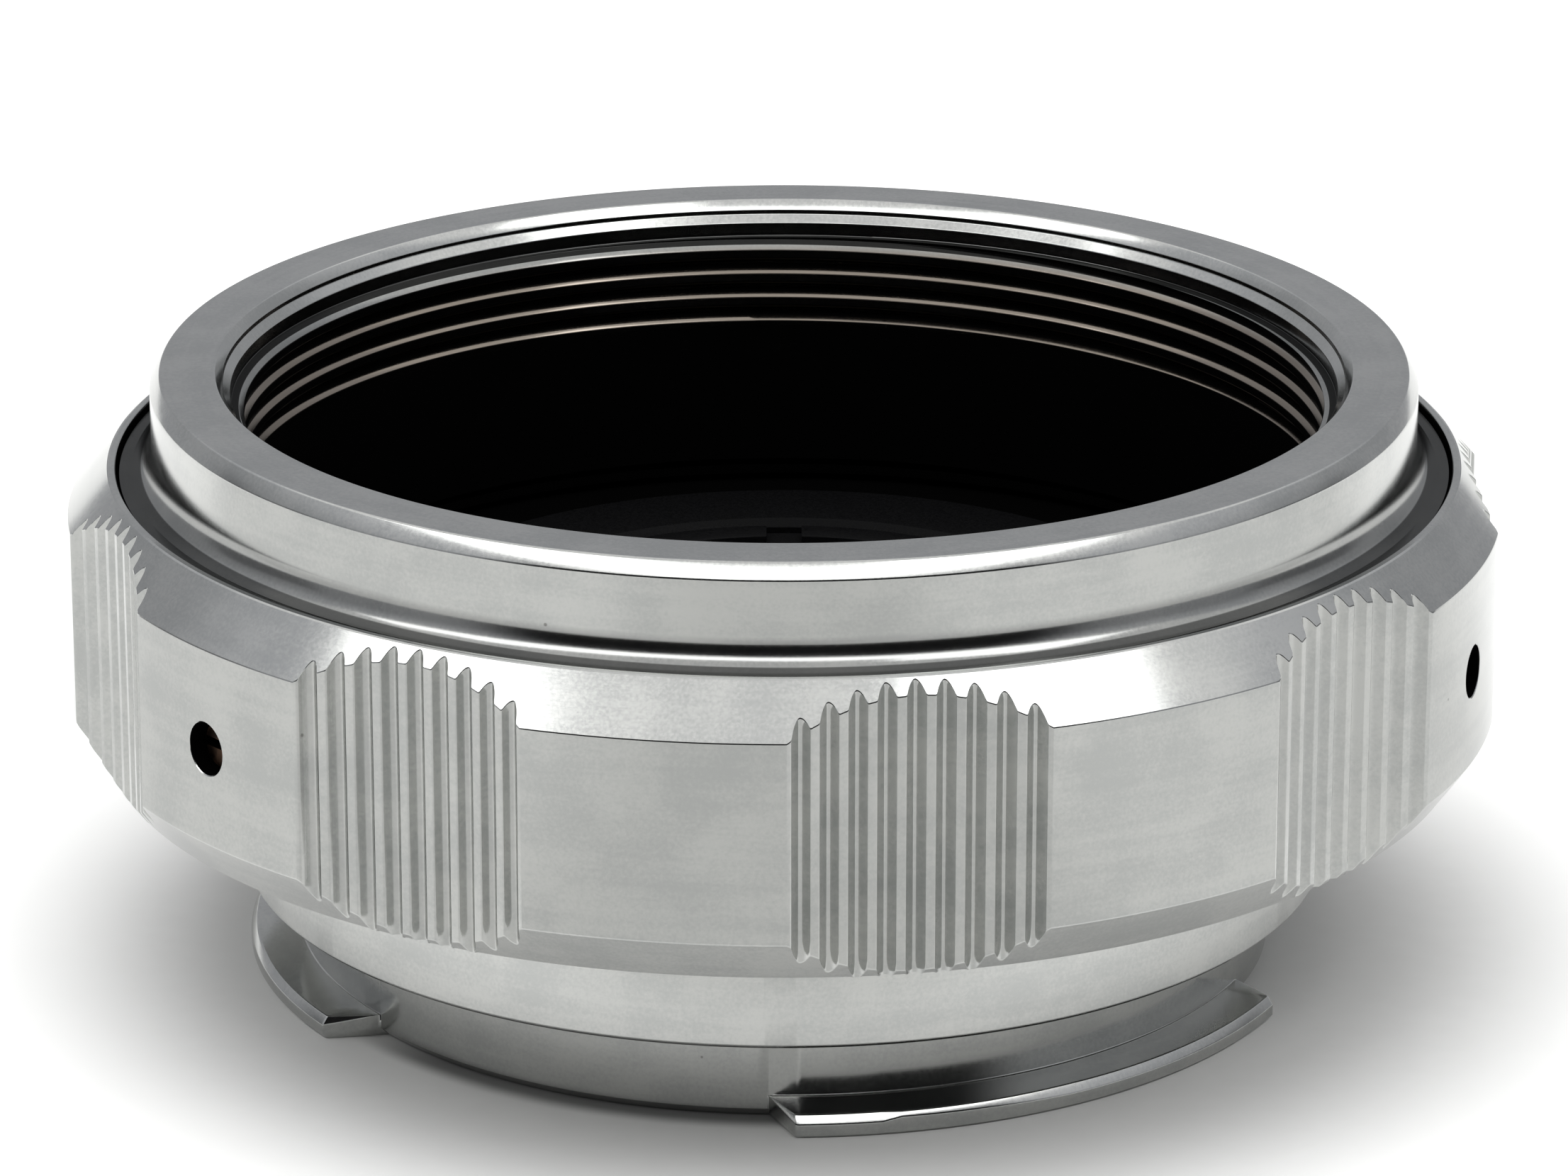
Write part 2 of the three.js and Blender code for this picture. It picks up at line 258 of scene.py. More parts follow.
def finish_piece(piece, node, material, sharp=22):
    """Gives a finished piece its shading and material, puts it in its CAD node's body and hides that node.

    Edges sharper than the given angle stay crisp.
    """
    piece.data.materials.clear()
    piece.data.materials.append(material)
    piece.data.shade_smooth()
    piece.data.set_sharp_from_angle(angle=math.radians(sharp))
    weighted = piece.modifiers.new("weighted_normals", "WEIGHTED_NORMAL")
    weighted.keep_sharp = True
    body = frame["nodes"][node]["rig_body"]
    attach(piece, body)
    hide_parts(node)


# ---- materials ----
class Graph:
    """A material's or world's node tree, built socket by socket."""

    def __init__(self, owner):
        owner.use_nodes = True
        self.tree = owner.node_tree
        self.tree.nodes.clear()

    def node(self, kind, inputs=(), **settings):
        made = self.tree.nodes.new(kind)
        for key, value in settings.items():
            setattr(made, key, value)
        for key, value in dict(inputs).items():
            self.put(made.inputs[key], value)
        return made

    def put(self, socket, value):
        if isinstance(value, bpy.types.NodeSocket):
            self.tree.links.new(value, socket)
        else:
            socket.default_value = value

    def math(self, operation, *values):
        made = self.node("ShaderNodeMath", operation=operation)
        for socket, value in zip(made.inputs, values):
            self.put(socket, value)
        return made.outputs[0]

    def step(self, value, low, high, to_low=0.0, to_high=1.0):
        """Smooth change from to_low to to_high as value goes from low to high."""
        made = self.node("ShaderNodeMapRange", interpolation_type="SMOOTHSTEP", inputs={
            "Value": value, "From Min": low, "From Max": high, "To Min": to_low, "To Max": to_high})
        return made.outputs["Result"]

    def mix(self, factor, a, b):
        made = self.node("ShaderNodeMix", data_type="RGBA")
        self.put(made.inputs[0], factor)
        self.put(made.inputs[6], a)
        self.put(made.inputs[7], b)
        return made.outputs[2]

    def product(self, first, *rest):
        for factor in rest:
            first = self.math("MULTIPLY", first, factor)
        return first

    def without(self, value):
        """One minus a value."""
        return self.math("SUBTRACT", 1, value)

    def hollows(self, reach):
        """Openness of the surface, lower in corners narrower than reach."""
        shade = self.node("ShaderNodeAmbientOcclusion", samples=2, only_local=True,
                          inputs={"Distance": reach * MM})
        return shade.outputs["AO"]

    def vector_math(self, operation, a, b=None, output=0):
        inputs = {0: a} if b is None else {0: a, 1: b}
        return self.node("ShaderNodeVectorMath", operation=operation, inputs=inputs).outputs[output]

    def noise(self, vector, scale, detail=2.0, roughness=0.5, w=None):
        made = self.node("ShaderNodeTexNoise", noise_dimensions="3D" if w is None else "4D", inputs={
            "Vector": vector, "Scale": scale, "Detail": detail, "Roughness": roughness})
        if w is not None:
            self.put(made.inputs["W"], w)
        return made.outputs["Fac"]

    def output(self, shader, kind="ShaderNodeOutputMaterial"):
        self.node(kind, inputs={"Surface": shader})


def polar(graph):
    """Object coordinates in mm as position, then x, y, height and radius."""
    place = graph.node("ShaderNodeTexCoord").outputs["Object"]
    scale = graph.node("ShaderNodeVectorMath", operation="SCALE", inputs={0: place, "Scale": 1 / MM})
    scaled = scale.outputs[0]
    split = graph.node("ShaderNodeSeparateXYZ", inputs={0: scaled})
    x, y, z = split.outputs
    radius = length_of(graph, x, y)
    return scaled, x, y, z, radius


def length_of(graph, x, y):
    """Length of a flat vector."""
    return graph.math("SQRT", graph.math("ADD", graph.math("MULTIPLY", x, x), graph.math("MULTIPLY", y, y)))


def turning_marks(graph, x, y, z, radius, per_mm, stretch):
    """Noise drawn out round the axis, as a lathe tool leaves it."""
    across = graph.math("DIVIDE", x, radius)
    along = graph.math("DIVIDE", y, radius)
    vector = graph.node("ShaderNodeCombineXYZ", inputs={
        0: graph.math("MULTIPLY", across, stretch),
        1: graph.math("MULTIPLY", along, stretch),
        2: graph.math("MULTIPLY", radius, per_mm)}).outputs[0]
    return graph.noise(vector, 1.0, detail=3.0, roughness=0.6, w=graph.math("MULTIPLY", z, per_mm))


CHROME = (0.53, 0.535, 0.52, 1)
CHROME_DARK = (0.40, 0.41, 0.405, 1)
# dark colour for dirt in pits, and for painted shade in hollows
DIRT_AND_SHADE = (0.10, 0.095, 0.085, 1)
THREAD_OIL = (0.34, 0.275, 0.215, 1)
# matte black: paint in the bores, painted shade in the grip ring's screw holes, and the darkening on the ring's
# flange
BLACK_PAINT_AND_SHADE = ((0.0006, 0.0006, 0.0006, 1), (0.0016, 0.0016, 0.0016, 1))
STEEL = ((0.10, 0.06, 0.04, 1), (0.025, 0.016, 0.012, 1))
BRASS = ((0.55, 0.38, 0.14, 1), (0.30, 0.19, 0.07, 1))
BLACKENED = ((0.02, 0.02, 0.021, 1), (0.035, 0.033, 0.03, 1))
ANODISED = ((0.0015, 0.0015, 0.0017, 1), (0.004, 0.004, 0.0045, 1))
GLASS = (0.93, 0.98, 0.96, 1)
FLOOR = ((0.80, 0.80, 0.785, 1), (0.84, 0.84, 0.825, 1))


def painted(graph, surface, blacked, radius, z, grain, bump):
    """The surface with matte black over it where blacked says so; in the grip ring's screw holes this black is
    painted shade.
    """
    paint = graph.node("ShaderNodeBsdfPrincipled", inputs={
        "Base Color": graph.mix(grain, *BLACK_PAINT_AND_SHADE),
        "Roughness": 0.8, "Specular IOR Level": 0.02, "Normal": bump.outputs[0]})
    blend = graph.node("ShaderNodeMixShader", inputs={
        0: blacked(graph, radius, z), 1: surface, 2: paint.outputs[0]})
    return blend.outputs[0]


def satin_chrome(name, blacked=None, threaded=None):
    """Satin chrome with turning marks, a fine blasted grain, dirty pits and painted shade in its hollows.

    blacked(graph, radius, z) gives where matte black paint lies, and threaded gives where a brown lubricant tints
    the thread.
    """
    material = bpy.data.materials.new(name)
    graph = Graph(material)
    place, x, y, z, radius = polar(graph)
    marks = turning_marks(graph, x, y, z, radius, per_mm=9.0, stretch=5.0)
    streaks = turning_marks(graph, x, y, z, radius, per_mm=2.2, stretch=2.5)
    grain = graph.noise(place, 7.0, detail=3.0, roughness=0.65)
    cloud = graph.noise(place, 0.35, detail=2.0)
    pits = graph.node("ShaderNodeTexVoronoi", inputs={"Vector": place, "Scale": 0.22, "Randomness": 1.0})
    pit = graph.step(pits.outputs["Distance"], 0.010, 0.018, 1.0, 0.0)
    shade = graph.math("ADD", graph.math("MULTIPLY", streaks, 0.25), graph.math("MULTIPLY", grain, 0.35))
    shade = graph.math("ADD", shade, graph.math("MULTIPLY", cloud, 0.4))
    colour = graph.mix(graph.step(shade, 0.38, 0.62), CHROME_DARK, CHROME)
    colour = graph.mix(0.35, colour, CHROME)
    # painted shade: the colour is darkened in hollows, where shade falls
    colour = graph.mix(graph.step(graph.hollows(0.5), 0.12, 0.5, 0.5, 0.0), colour, DIRT_AND_SHADE)
    colour = graph.mix(graph.math("MULTIPLY", pit, 0.6), colour, DIRT_AND_SHADE)
    roughness = graph.math("ADD", 0.08, graph.math("MULTIPLY", grain, 0.09))
    roughness = graph.math("ADD", roughness, graph.math("MULTIPLY", cloud, 0.05))
    if threaded:
        colour = graph.mix(threaded(graph, radius, z), colour, THREAD_OIL)
    height = graph.math("ADD", graph.math("MULTIPLY", marks, 0.6), graph.math("MULTIPLY", grain, 0.5))
    bump = graph.node("ShaderNodeBump", inputs={"Strength": 0.25, "Distance": 0.004 * MM, "Height": height})
    metal = graph.node("ShaderNodeBsdfPrincipled", inputs={
        "Base Color": colour, "Metallic": 1.0, "Roughness": roughness, "Normal": bump.outputs[0]})
    surface = metal.outputs[0]
    if blacked:
        surface = painted(graph, surface, blacked, radius, z, grain, bump)
    graph.output(surface)
    return material


def coloured_metal(name, colours, metallic=1.0, blacked=None):
    """Plain metal in a bright and a stained colour, with grain and painted shade in its hollows."""
    material = bpy.data.materials.new(name)
    graph = Graph(material)
    place, _, _, z, radius = polar(graph)
    grain = graph.noise(place, 5.0, detail=4.0, roughness=0.7)
    stains = graph.noise(place, 1.3, detail=3.0)
    colour = graph.mix(graph.step(stains, 0.4, 0.65), *colours)
    # painted shade: the colour is darkened in hollows, where shade falls
    colour = graph.mix(graph.step(graph.hollows(0.4), 0.3, 0.8, 0.8, 0.0), colour, DIRT_AND_SHADE)
    bump = graph.node("ShaderNodeBump", inputs={"Strength": 0.3, "Distance": 0.01 * MM, "Height": grain})
    shader = graph.node("ShaderNodeBsdfPrincipled", inputs={
        "Base Color": colour, "Metallic": metallic, "Roughness": graph.step(grain, 0.3, 0.7, 0.3, 0.5),
        "Normal": bump.outputs[0]})
    surface = shader.outputs[0]
    if blacked:
        surface = painted(graph, surface, blacked, radius, z, grain, bump)
    graph.output(surface)
    return material


def black_anodised(name):
    """Matte black anodising with turning marks and a fine grain."""
    material = bpy.data.materials.new(name)
    graph = Graph(material)
    place, x, y, z, radius = polar(graph)
    marks = turning_marks(graph, x, y, z, radius, per_mm=7.0, stretch=4.0)
    grain = graph.noise(place, 9.0, detail=3.0)
    colour = graph.mix(grain, *ANODISED)
    height = graph.math("ADD", marks, graph.math("MULTIPLY", grain, 0.6))
    bump = graph.node("ShaderNodeBump", inputs={"Strength": 0.35, "Distance": 0.01 * MM, "Height": height})
    shader = graph.node("ShaderNodeBsdfPrincipled", inputs={
        "Base Color": colour, "Roughness": graph.step(grain, 0.3, 0.7, 0.42, 0.6),
        "Specular IOR Level": 0.06, "Normal": bump.outputs[0]})
    graph.output(shader.outputs[0])
    return material


def coated_glass(name):
    """Lens glass with an anti-reflection film and a trace of dust."""
    material = bpy.data.materials.new(name)
    graph = Graph(material)
    place = polar(graph)[0]
    dust = graph.noise(place, 4.0, detail=6.0, roughness=0.7)
    shader = graph.node("ShaderNodeBsdfPrincipled", inputs={
        "Base Color": GLASS, "Roughness": graph.step(dust, 0.62, 0.72, 0.0, 0.08),
        "IOR": 1.52, "Transmission Weight": 1.0, "Thin Film Thickness": 130.0, "Thin Film IOR": 1.38})
    graph.output(shader.outputs[0])
    return material


# ---- threaded ring ----
RING_CHAMFER = 0.58                   # height of the bright chamfer round the top face
MOUTH_CHAMFER = 0.385                 # heights from the top face down: chamfer, short wall, lead-in cone
MOUTH_STEP = 0.16
LEAD = 0.30
MOUTH_SHOULDER = 0.28                 # how far in the chamfer goes
LEDGE_DEPTH = 1.42                    # top face to the start of the thread
THREAD_BOTTOM_DEPTH = 4.95            # top face to the end of the thread
THREAD_RUN_OUT = 0.15                 # height over which the thread fades in at the bottom
THREAD_START = 0.30                   # share of a pitch that the helix is turned by
VEE_DEPTH = 0.9                       # clamping groove for the lock screw pads
COVE_R = 1.2                          # hollow sweep from the ring's wall down to its flange
COVE_SWEEP = 70
FLANGE_SPARE = 0.05                   # the flange nearly fills the grip ring's recess
# share of a pitch above a crest, and share of the thread's depth, round one tooth
TOOTH = ((0.00, 0.0), (0.13, 0.0), (0.29, 0.0), (0.31, 0.03), (0.47, 0.46), (0.51, 0.60),
         (0.60, 0.94), (0.63, 1.0), (0.72, 1.0), (0.75, 0.94), (0.96, 0.06))


def thread_points(degrees):
    """A right-hand female thread from the bottom up: its points climb one pitch in each turn."""
    top = RING_TOP - LEDGE_DEPTH
    bottom = RING_TOP - THREAD_BOTTOM_DEPTH
    turn = degrees / 360 + THREAD_START
    rise, depth = zip(*TOOTH, (1.0, 0.0))
    rows = []
    for whole in range(-2, THREAD_TURNS + 2):
        for above, share in TOOTH:
            free = bottom + (whole + above + turn) * THREAD_PITCH
            height = np.clip(free, bottom, top)
            at_end = np.interp(((height - bottom) / THREAD_PITCH - turn) % 1, rise, depth)
            share = np.where(free == height, share, at_end)
            share = share * np.clip((height - bottom) / THREAD_RUN_OUT, 0, 1)
            rows.append(np.stack([THREAD_MINOR + share * THREAD_DEPTH, height], -1))
    return np.stack(rows, 1)


def thread_ring():
    step_r = RING_FLAT_IN - MOUTH_SHOULDER
    ledge_r = step_r - LEAD
    mouth = RING_TOP - MOUTH_CHAMFER
    turn = np.radians(np.linspace(0, COVE_SWEEP, 15))
    cove_z = FLANGE_TOP + COVE_R * math.sin(math.radians(COVE_SWEEP))
    cove = np.stack([RING_R + COVE_R * (1 - np.cos(turn)), cove_z - COVE_R * np.sin(turn)], -1).tolist()
    flange_r = FLANGE_R + FLANGE_SPARE
    outer = [[RING_FLAT_OUT, RING_TOP], [RING_R, RING_TOP - RING_CHAMFER], *cove,
             [flange_r, FLANGE_TOP], [flange_r, FLANGE_BOTTOM], [RING_R, FLANGE_BOTTOM],
             [RING_R, LOCK_Z + VEE_DEPTH], [RING_R - VEE_DEPTH, LOCK_Z], [RING_R, LOCK_Z - VEE_DEPTH],
             [RING_R, RING_BOTTOM], [THREAD_MINOR, RING_BOTTOM]]
    outer_reach = [0.07, 0.05, *[0.0] * len(cove), 0.05, 0.05, 0.1, 0.1, 0.05, 0.1, 0.15, 0.1]
    inner = [[ledge_r, RING_TOP - LEDGE_DEPTH + 0.06], [ledge_r, mouth - MOUTH_STEP - LEAD],
             [step_r, mouth - MOUTH_STEP], [step_r, mouth], [RING_FLAT_IN, RING_TOP]]
    inner_reach = [0.03, 0.03, 0.03, 0.02, 0.05]
    degrees = np.linspace(0, 360, 361)
    thread = thread_points(degrees)
    columns = np.concatenate(
        [np.repeat([outer], len(degrees), 0), thread, np.repeat([inner], len(degrees), 0)], 1)
    reach = np.concatenate([outer_reach, np.zeros(thread.shape[1]), inner_reach])
    return solid("thread_ring_body", [around(rounded(columns, reach), degrees)])


# ---- grip ring ----
def groove_wave():
    """Half a groove from valley to ridge as (place, height), both 0 to 1, steepest beside a narrow flat ridge."""
    fine = np.linspace(0, 1, 400)
    valley = fine / np.hypot(fine, 0.18)
    ridge = 1 / (1 + np.exp((fine - 0.66) / 0.025))
    slope = valley * (0.5 + 2.4 * fine ** 2) * ridge
    height = np.concatenate([[0], np.cumsum((slope[1:] + slope[:-1]) / 2)])
    place = np.array([0, 0.06, 0.13, 0.24, 0.36, 0.47, 0.56, 0.63, 0.68, 0.74, 0.84, 1.0])
    return place, np.interp(place, fine, height / height[-1])


def scallop_columns():
    """Angle from the scallop's middle, and radius, of points across its grooves."""
    half = math.radians(SCALLOP_HALF)
    half_chord = GRIP_R * math.sin(half)
    sagitta = GRIP_R * math.cos(half) - SCALLOP_CENTRE_R
    arc_r = (half_chord ** 2 + sagitta ** 2) / (2 * sagitta)
    place, height = groove_wave()
    across = np.concatenate([-place[::-1], place[1:]])
    lift = np.concatenate([height[::-1], height[1:]])
    width = 2 * half_chord / GROOVES
    u = np.concatenate([(i - (GROOVES - 1) / 2 + across / 2) * width for i in range(GROOVES)])
    depth = np.tile((1 - lift) * GROOVE_DEPTH, GROOVES)
    ridge = SCALLOP_CENTRE_R + arc_r - np.sqrt(arc_r ** 2 - u ** 2)
    r = ridge - depth
    keep = np.concatenate([[True], np.diff(u) > 1e-6])
    return np.degrees(np.arctan2(u, r))[keep], np.hypot(u, r)[keep]


def grip_ring():
    scallop, cut_r = scallop_columns()
    pitch = 360 / SCALLOPS
    land = np.linspace(SCALLOP_HALF, pitch - SCALLOP_HALF, 41)[1:-1]
    one = np.concatenate([scallop, land])
    radii = np.concatenate([cut_r, np.full(len(land), GRIP_R)])
    degrees = np.concatenate([one + SCALLOP_PHASE + i * pitch for i in range(SCALLOPS)])
    radius = np.tile(radii, SCALLOPS)
    lower_chamfer = np.clip((radius - GRIP_BOTTOM_R) / (GRIP_R - GRIP_BOTTOM_R), 0, 1)
    upper_chamfer = (radius - GRIP_FLAT_OUT) / (GRIP_R - GRIP_FLAT_OUT)
    low = GRIP_BOTTOM + lower_chamfer * (LAND_BOTTOM - GRIP_BOTTOM)
    high = GRIP_TOP - upper_chamfer * (GRIP_TOP - LAND_TOP)
    recess_r = RECESS_R - 0.04
    columns = sections(
        len(degrees), (WEB_BORE_R, GRIP_BOTTOM), (np.minimum(radius, GRIP_BOTTOM_R), GRIP_BOTTOM), (radius, low),
        (radius, high), (GRIP_FLAT_OUT, GRIP_TOP), (recess_r, GRIP_TOP), (recess_r, RECESS_FLOOR),
        (GRIP_BORE_R, RECESS_FLOOR), (GRIP_BORE_R, WEB_TOP), (WEB_BORE_R, WEB_TOP))
    reach = [0.15, 0.08, 0.03, 0.025, 0.05, 0.03, 0.03, 0.05, 0.2, 0.15]
    piece = solid("grip_ring_body", [around(rounded(columns, reach, 2), degrees)])
    lip = 0.05
    beyond = 1                        # how far a cutter reaches past the metal
    cutters = []
    for name in SCREW_NAMES:
        mouth_r = SCREW_HOLE_R + lip + 0.3
        section = [[0, GRIP_BORE_R - beyond], [SCREW_HOLE_R, GRIP_BORE_R - beyond], [SCREW_HOLE_R, GRIP_R - lip],
                   [mouth_r, GRIP_R + 0.3], [mouth_r, GRIP_R + beyond], [0, GRIP_R + beyond]]
        hole = turned(section, 0.0, 40, 2)
        cutters.append(placed(hole, radially(azimuth_of(name), LOCK_Z)))
    sink_r = 1.8
    for name in MOUNT_SCREW_NAMES:
        place = centre_of(name)
        section = [[0, GRIP_BOTTOM - beyond], [MOUNT_HOLE_R, GRIP_BOTTOM - beyond], [MOUNT_HOLE_R, WEB_TOP - 0.8],
                   [sink_r, WEB_TOP + 0.1], [sink_r, WEB_TOP + beyond], [0, WEB_TOP + beyond]]
        sink = turned(section, 0.0, 40, 2)
        cutters.append(placed(sink, Matrix.Translation((place.x, place.y, 0))))
    carve(piece, cutters)
    return piece


# ---- bayonet ----
LUG_STARTS = (0, 120, 240)
LUG_RAMPS = ((-1.7, 1.2), (63.2, 66.2))   # angles over which a lug rises from the neck and falls back


def lug_reach(degrees):
    """How far the lugs stand out at each angle, from 0 at the neck to 1 at their full radius."""
    out = np.zeros(len(degrees))
    for start in LUG_STARTS:
        along = (degrees - start + 60) % 360 - 60
        out = np.maximum(out, np.interp(along, [*LUG_RAMPS[0], *LUG_RAMPS[1]], [0, 1, 1, 0]))
    return out


def bayonet_mount():
    # more columns where a lug rises and falls
    closer = [start + end + np.linspace(-0.1, 3.1, 17) for start in LUG_STARTS for end in (-1.75, 63.15)]
    degrees = np.unique(np.round(np.concatenate([np.arange(0, 360, 1.0), *closer]) % 360, 3))
    out = lug_reach(degrees)
    lug_r = NECK_R + (LUG_R - NECK_R) * out
    bore_edge = 0.3
    skirt_edge = 0.15
    foot = 0.18 + 0.17 * (1 - out)    # chamfer round the bottom, smaller under the lugs
    # chamfer along a lug's upper edge: broad at the leading end, narrow past a step, then broader again
    along = np.min([(degrees - start + 3) % 360 for start in LUG_STARTS], 0)
    lead = out * np.interp(along, [13.5, 14.5, 24, 34], [0.33, 0.18, 0.22, 0.32])
    columns = sections(
        len(degrees), (NECK_BORE_R, bore_edge), (NECK_BORE_R + bore_edge, 0), (lug_r - foot, 0), (lug_r, foot),
        (lug_r, LUG_TOP - lead), (lug_r - 0.7 * lead, LUG_TOP), (NECK_R, LUG_TOP), (NECK_R, SEAT_Z),
        (SKIRT_R - skirt_edge, SEAT_Z), (SKIRT_R, SEAT_Z + skirt_edge), (SKIRT_R, SKIRT_TOP),
        (NECK_BORE_R, SKIRT_TOP))
    reach = [0.05, 0.05, 0.04, 0.04, 0.05, 0.05, 0.08, 0.1, 0.04, 0.04, 0.1, 0.1]
    piece = solid("bayonet_mount_body", [around(rounded(columns, reach, 5), degrees)])
    holes = []
    for name in MOUNT_SCREW_NAMES:
        place = centre_of(name)
        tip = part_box(name)[0].z / MM
        floor_z = tip - 0.5
        open_z = SKIRT_TOP + 1
        section = [[0, floor_z], [MOUNT_HOLE_R, floor_z], [MOUNT_HOLE_R, open_z], [0, open_z]]
        holes.append(placed(turned(section, 0.0, 32, 2), Matrix.Translation((place.x, place.y, 0))))
    carve(piece, holes)
    return piece


# ---- screws, pads and washer ----
FINE_PITCH = 0.4                      # the small screws' thread
LOCK_SCREW_R = 0.95
LOCK_SLOT = (3, 0.35, 1.2)            # length, width and twice the depth
MOUNT_SCREW_R = 0.8
MOUNT_HEAD_R = 1.5
MOUNT_SLOT = (4, 0.4, 0.7)
MOUNT_SPINS = (20, 75, -35, 50)       # where each slot came to rest when its screw was tight


def lock_screw(name):
    """Headless slotted screw, made along +Z and laid along its radius."""
    low, high = radial_extent(name)
    body = solid(name + "_body", [turned(threaded_rod(LOCK_SCREW_R, low, high), 0.0, 40, 2)])
    carve(body, [block(*LOCK_SLOT, (0, 0, high))])
    body.data.transform(scaled_matrix(radially(azimuth_of(name), LOCK_Z)))
    return body


def radial_extent(name):
    """Nearest and farthest point of a node that lies along a radius."""
    points = np.array([v.co for v in frame["nodes"][name].data.vertices]) / MM
    out = math.radians(azimuth_of(name))
    along = points[:, 0] * math.sin(out) - points[:, 1] * math.cos(out)
    return along.min(), along.max()


def threaded_rod(radius, low, high):
    """Cross-section of a rod whose side is ridged like a fine thread, from the axis at the bottom."""
    tip = 0.2
    root = radius - 0.14
    corners = [[0, low], [radius - tip, low]]
    z = low + tip
    while z + FINE_PITCH < high - 0.1:
        corners += [[radius, z + FINE_PITCH * 0.15], [radius, z + FINE_PITCH * 0.35]]
        corners += [[root, z + FINE_PITCH * 0.8]]
        z += FINE_PITCH
    corners += [[radius - 0.12, high], [0, high]]
    return corners


def scaled_matrix(matrix):
    """The same placement for a mesh that is already in metres."""
    result = matrix.copy()
    result.translation = matrix.translation * MM
    return result


def lock_pad(name):
    """Pad with a cone nose for the ring's groove, laid along its radius."""
    low, high = radial_extent(name)
    nose_r = 0.3
    pad_r = LOCK_SCREW_R - 0.1
    section = [[0, low], [nose_r, low], [pad_r, low + 0.6], [pad_r, high], [0, high]]
    body = solid(name + "_body", [turned(section, [0, 0.06, 0.08, 0.06, 0], 40)])
    body.data.transform(scaled_matrix(radially(azimuth_of(name), LOCK_Z)))
    return body


def mount_screw(name, spin):
    """Slotted countersunk screw."""
    low, high = (c.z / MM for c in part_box(name))
    place = centre_of(name)
    shank = threaded_rod(MOUNT_SCREW_R, low, high - 0.85)[:-1]
    section = shank + [[MOUNT_SCREW_R, high - 0.75], [MOUNT_HEAD_R, high - 0.05], [MOUNT_HEAD_R - 0.06, high],
                       [0, high]]
    body = solid(name + "_body", [turned(section, 0.0, 48, 2)])
    carve(body, [block(*MOUNT_SLOT, (0, 0, high))])
    body.data.transform(Matrix.Rotation(math.radians(spin), 4, "Z"))
    body.data.transform(Matrix.Translation((place.x * MM, place.y * MM, 0)))
    return body


def plain_ring(node, reach):
    """A turned ring of square section with rounded edges, from its CAD node's size."""
    segments = 180
    inner, outer, low, high = extent(node)
    section = [[inner, low], [outer, low], [outer, high], [inner, high]]
    return solid(node + "_body", [turned(section, reach, segments)])


def spanner_ring(node, reach, depth, top):
    """A plain ring with two spanner slots across its top or bottom face."""
    ring = plain_ring(node, reach)
    inner, outer, low, high = extent(node)
    middle = (inner + outer) / 2
    size = (1.4, outer - inner + 1, 2 * depth)
    carve(ring, [block(*size, (0, side * middle, high if top else low)) for side in (-1, 1)])
    return ring


# ---- lens cell and glass ----
CELL_BORE_R = 11.8
CELL_SHOULDER = 5.0                   # ledge that the rear lens stands on
CELL_TEETH = 90                       # fine notches round the flange
CLEAR_R = 10.4                        # clear aperture
# for each lens, its lower and upper surface: height at the pole, and curvature in 1/mm
LENSES = {"rear_lens": ((5.9, -1 / 90), (8.5, -1 / 55)), "front_lens": ((9.4, -1 / 50), (10.6, 1 / 60))}


def lens_cell():
    clear_r, flange_r, low, high = extent("lens_cell")
    body_r = WEB_BORE_R - GAP
    flange_z = WEB_TOP + GAP
    notch = 0.12
    edge = 0.3
    count = CELL_TEETH * 4
    degrees = np.arange(count) * 360 / count
    edge_r = flange_r - notch * np.array([0, 0, 1, 1])[np.arange(count) % 4]
    columns = sections(
        count, (clear_r, low + 0.4), (clear_r + 0.4, low), (body_r - edge, low), (body_r, low + edge),
        (body_r, flange_z), (edge_r, flange_z), (edge_r, high - 0.2), (flange_r - 0.4, high),
        (CELL_BORE_R + edge, high), (CELL_BORE_R, high - edge), (CELL_BORE_R, CELL_SHOULDER),
        (clear_r, CELL_SHOULDER))
    reach = [0.05, 0.05, 0.05, 0.05, 0.05, 0.03, 0.05, 0.05, 0.05, 0.05, 0.0, 0.05]
    return solid("lens_cell_body", [around(rounded(columns, reach, 3), degrees)])


def lens(node):
    """A lens from its two surfaces, with its rim taken from the CAD node."""
    lower, upper = LENSES[node]
    outer = extent(node)[1]
    r = np.linspace(0, CLEAR_R, 28)

    def surface(pole, curvature):
        return pole + (1 - np.sqrt(1 - (r * curvature) ** 2)) / curvature

    bottom = np.stack([r, surface(*lower)], 1)
    top = np.stack([r, surface(*upper)], 1)[::-1]
    rim_low, rim_high = rim_heights(node, outer)
    section = np.concatenate([bottom, [[outer, rim_low], [outer, rim_high]], top])
    reach = np.concatenate([np.zeros(len(bottom)), [0.08, 0.08], np.zeros(len(top))])
    return solid(node + "_body", [turned(section, reach, 160, 3)])


def rim_heights(node, outer):
    """Lowest and highest corner on a node's rim."""
    radius, z = corners_of(node)
    level = z[radius > outer - 0.05]
    return level.min(), level.max()


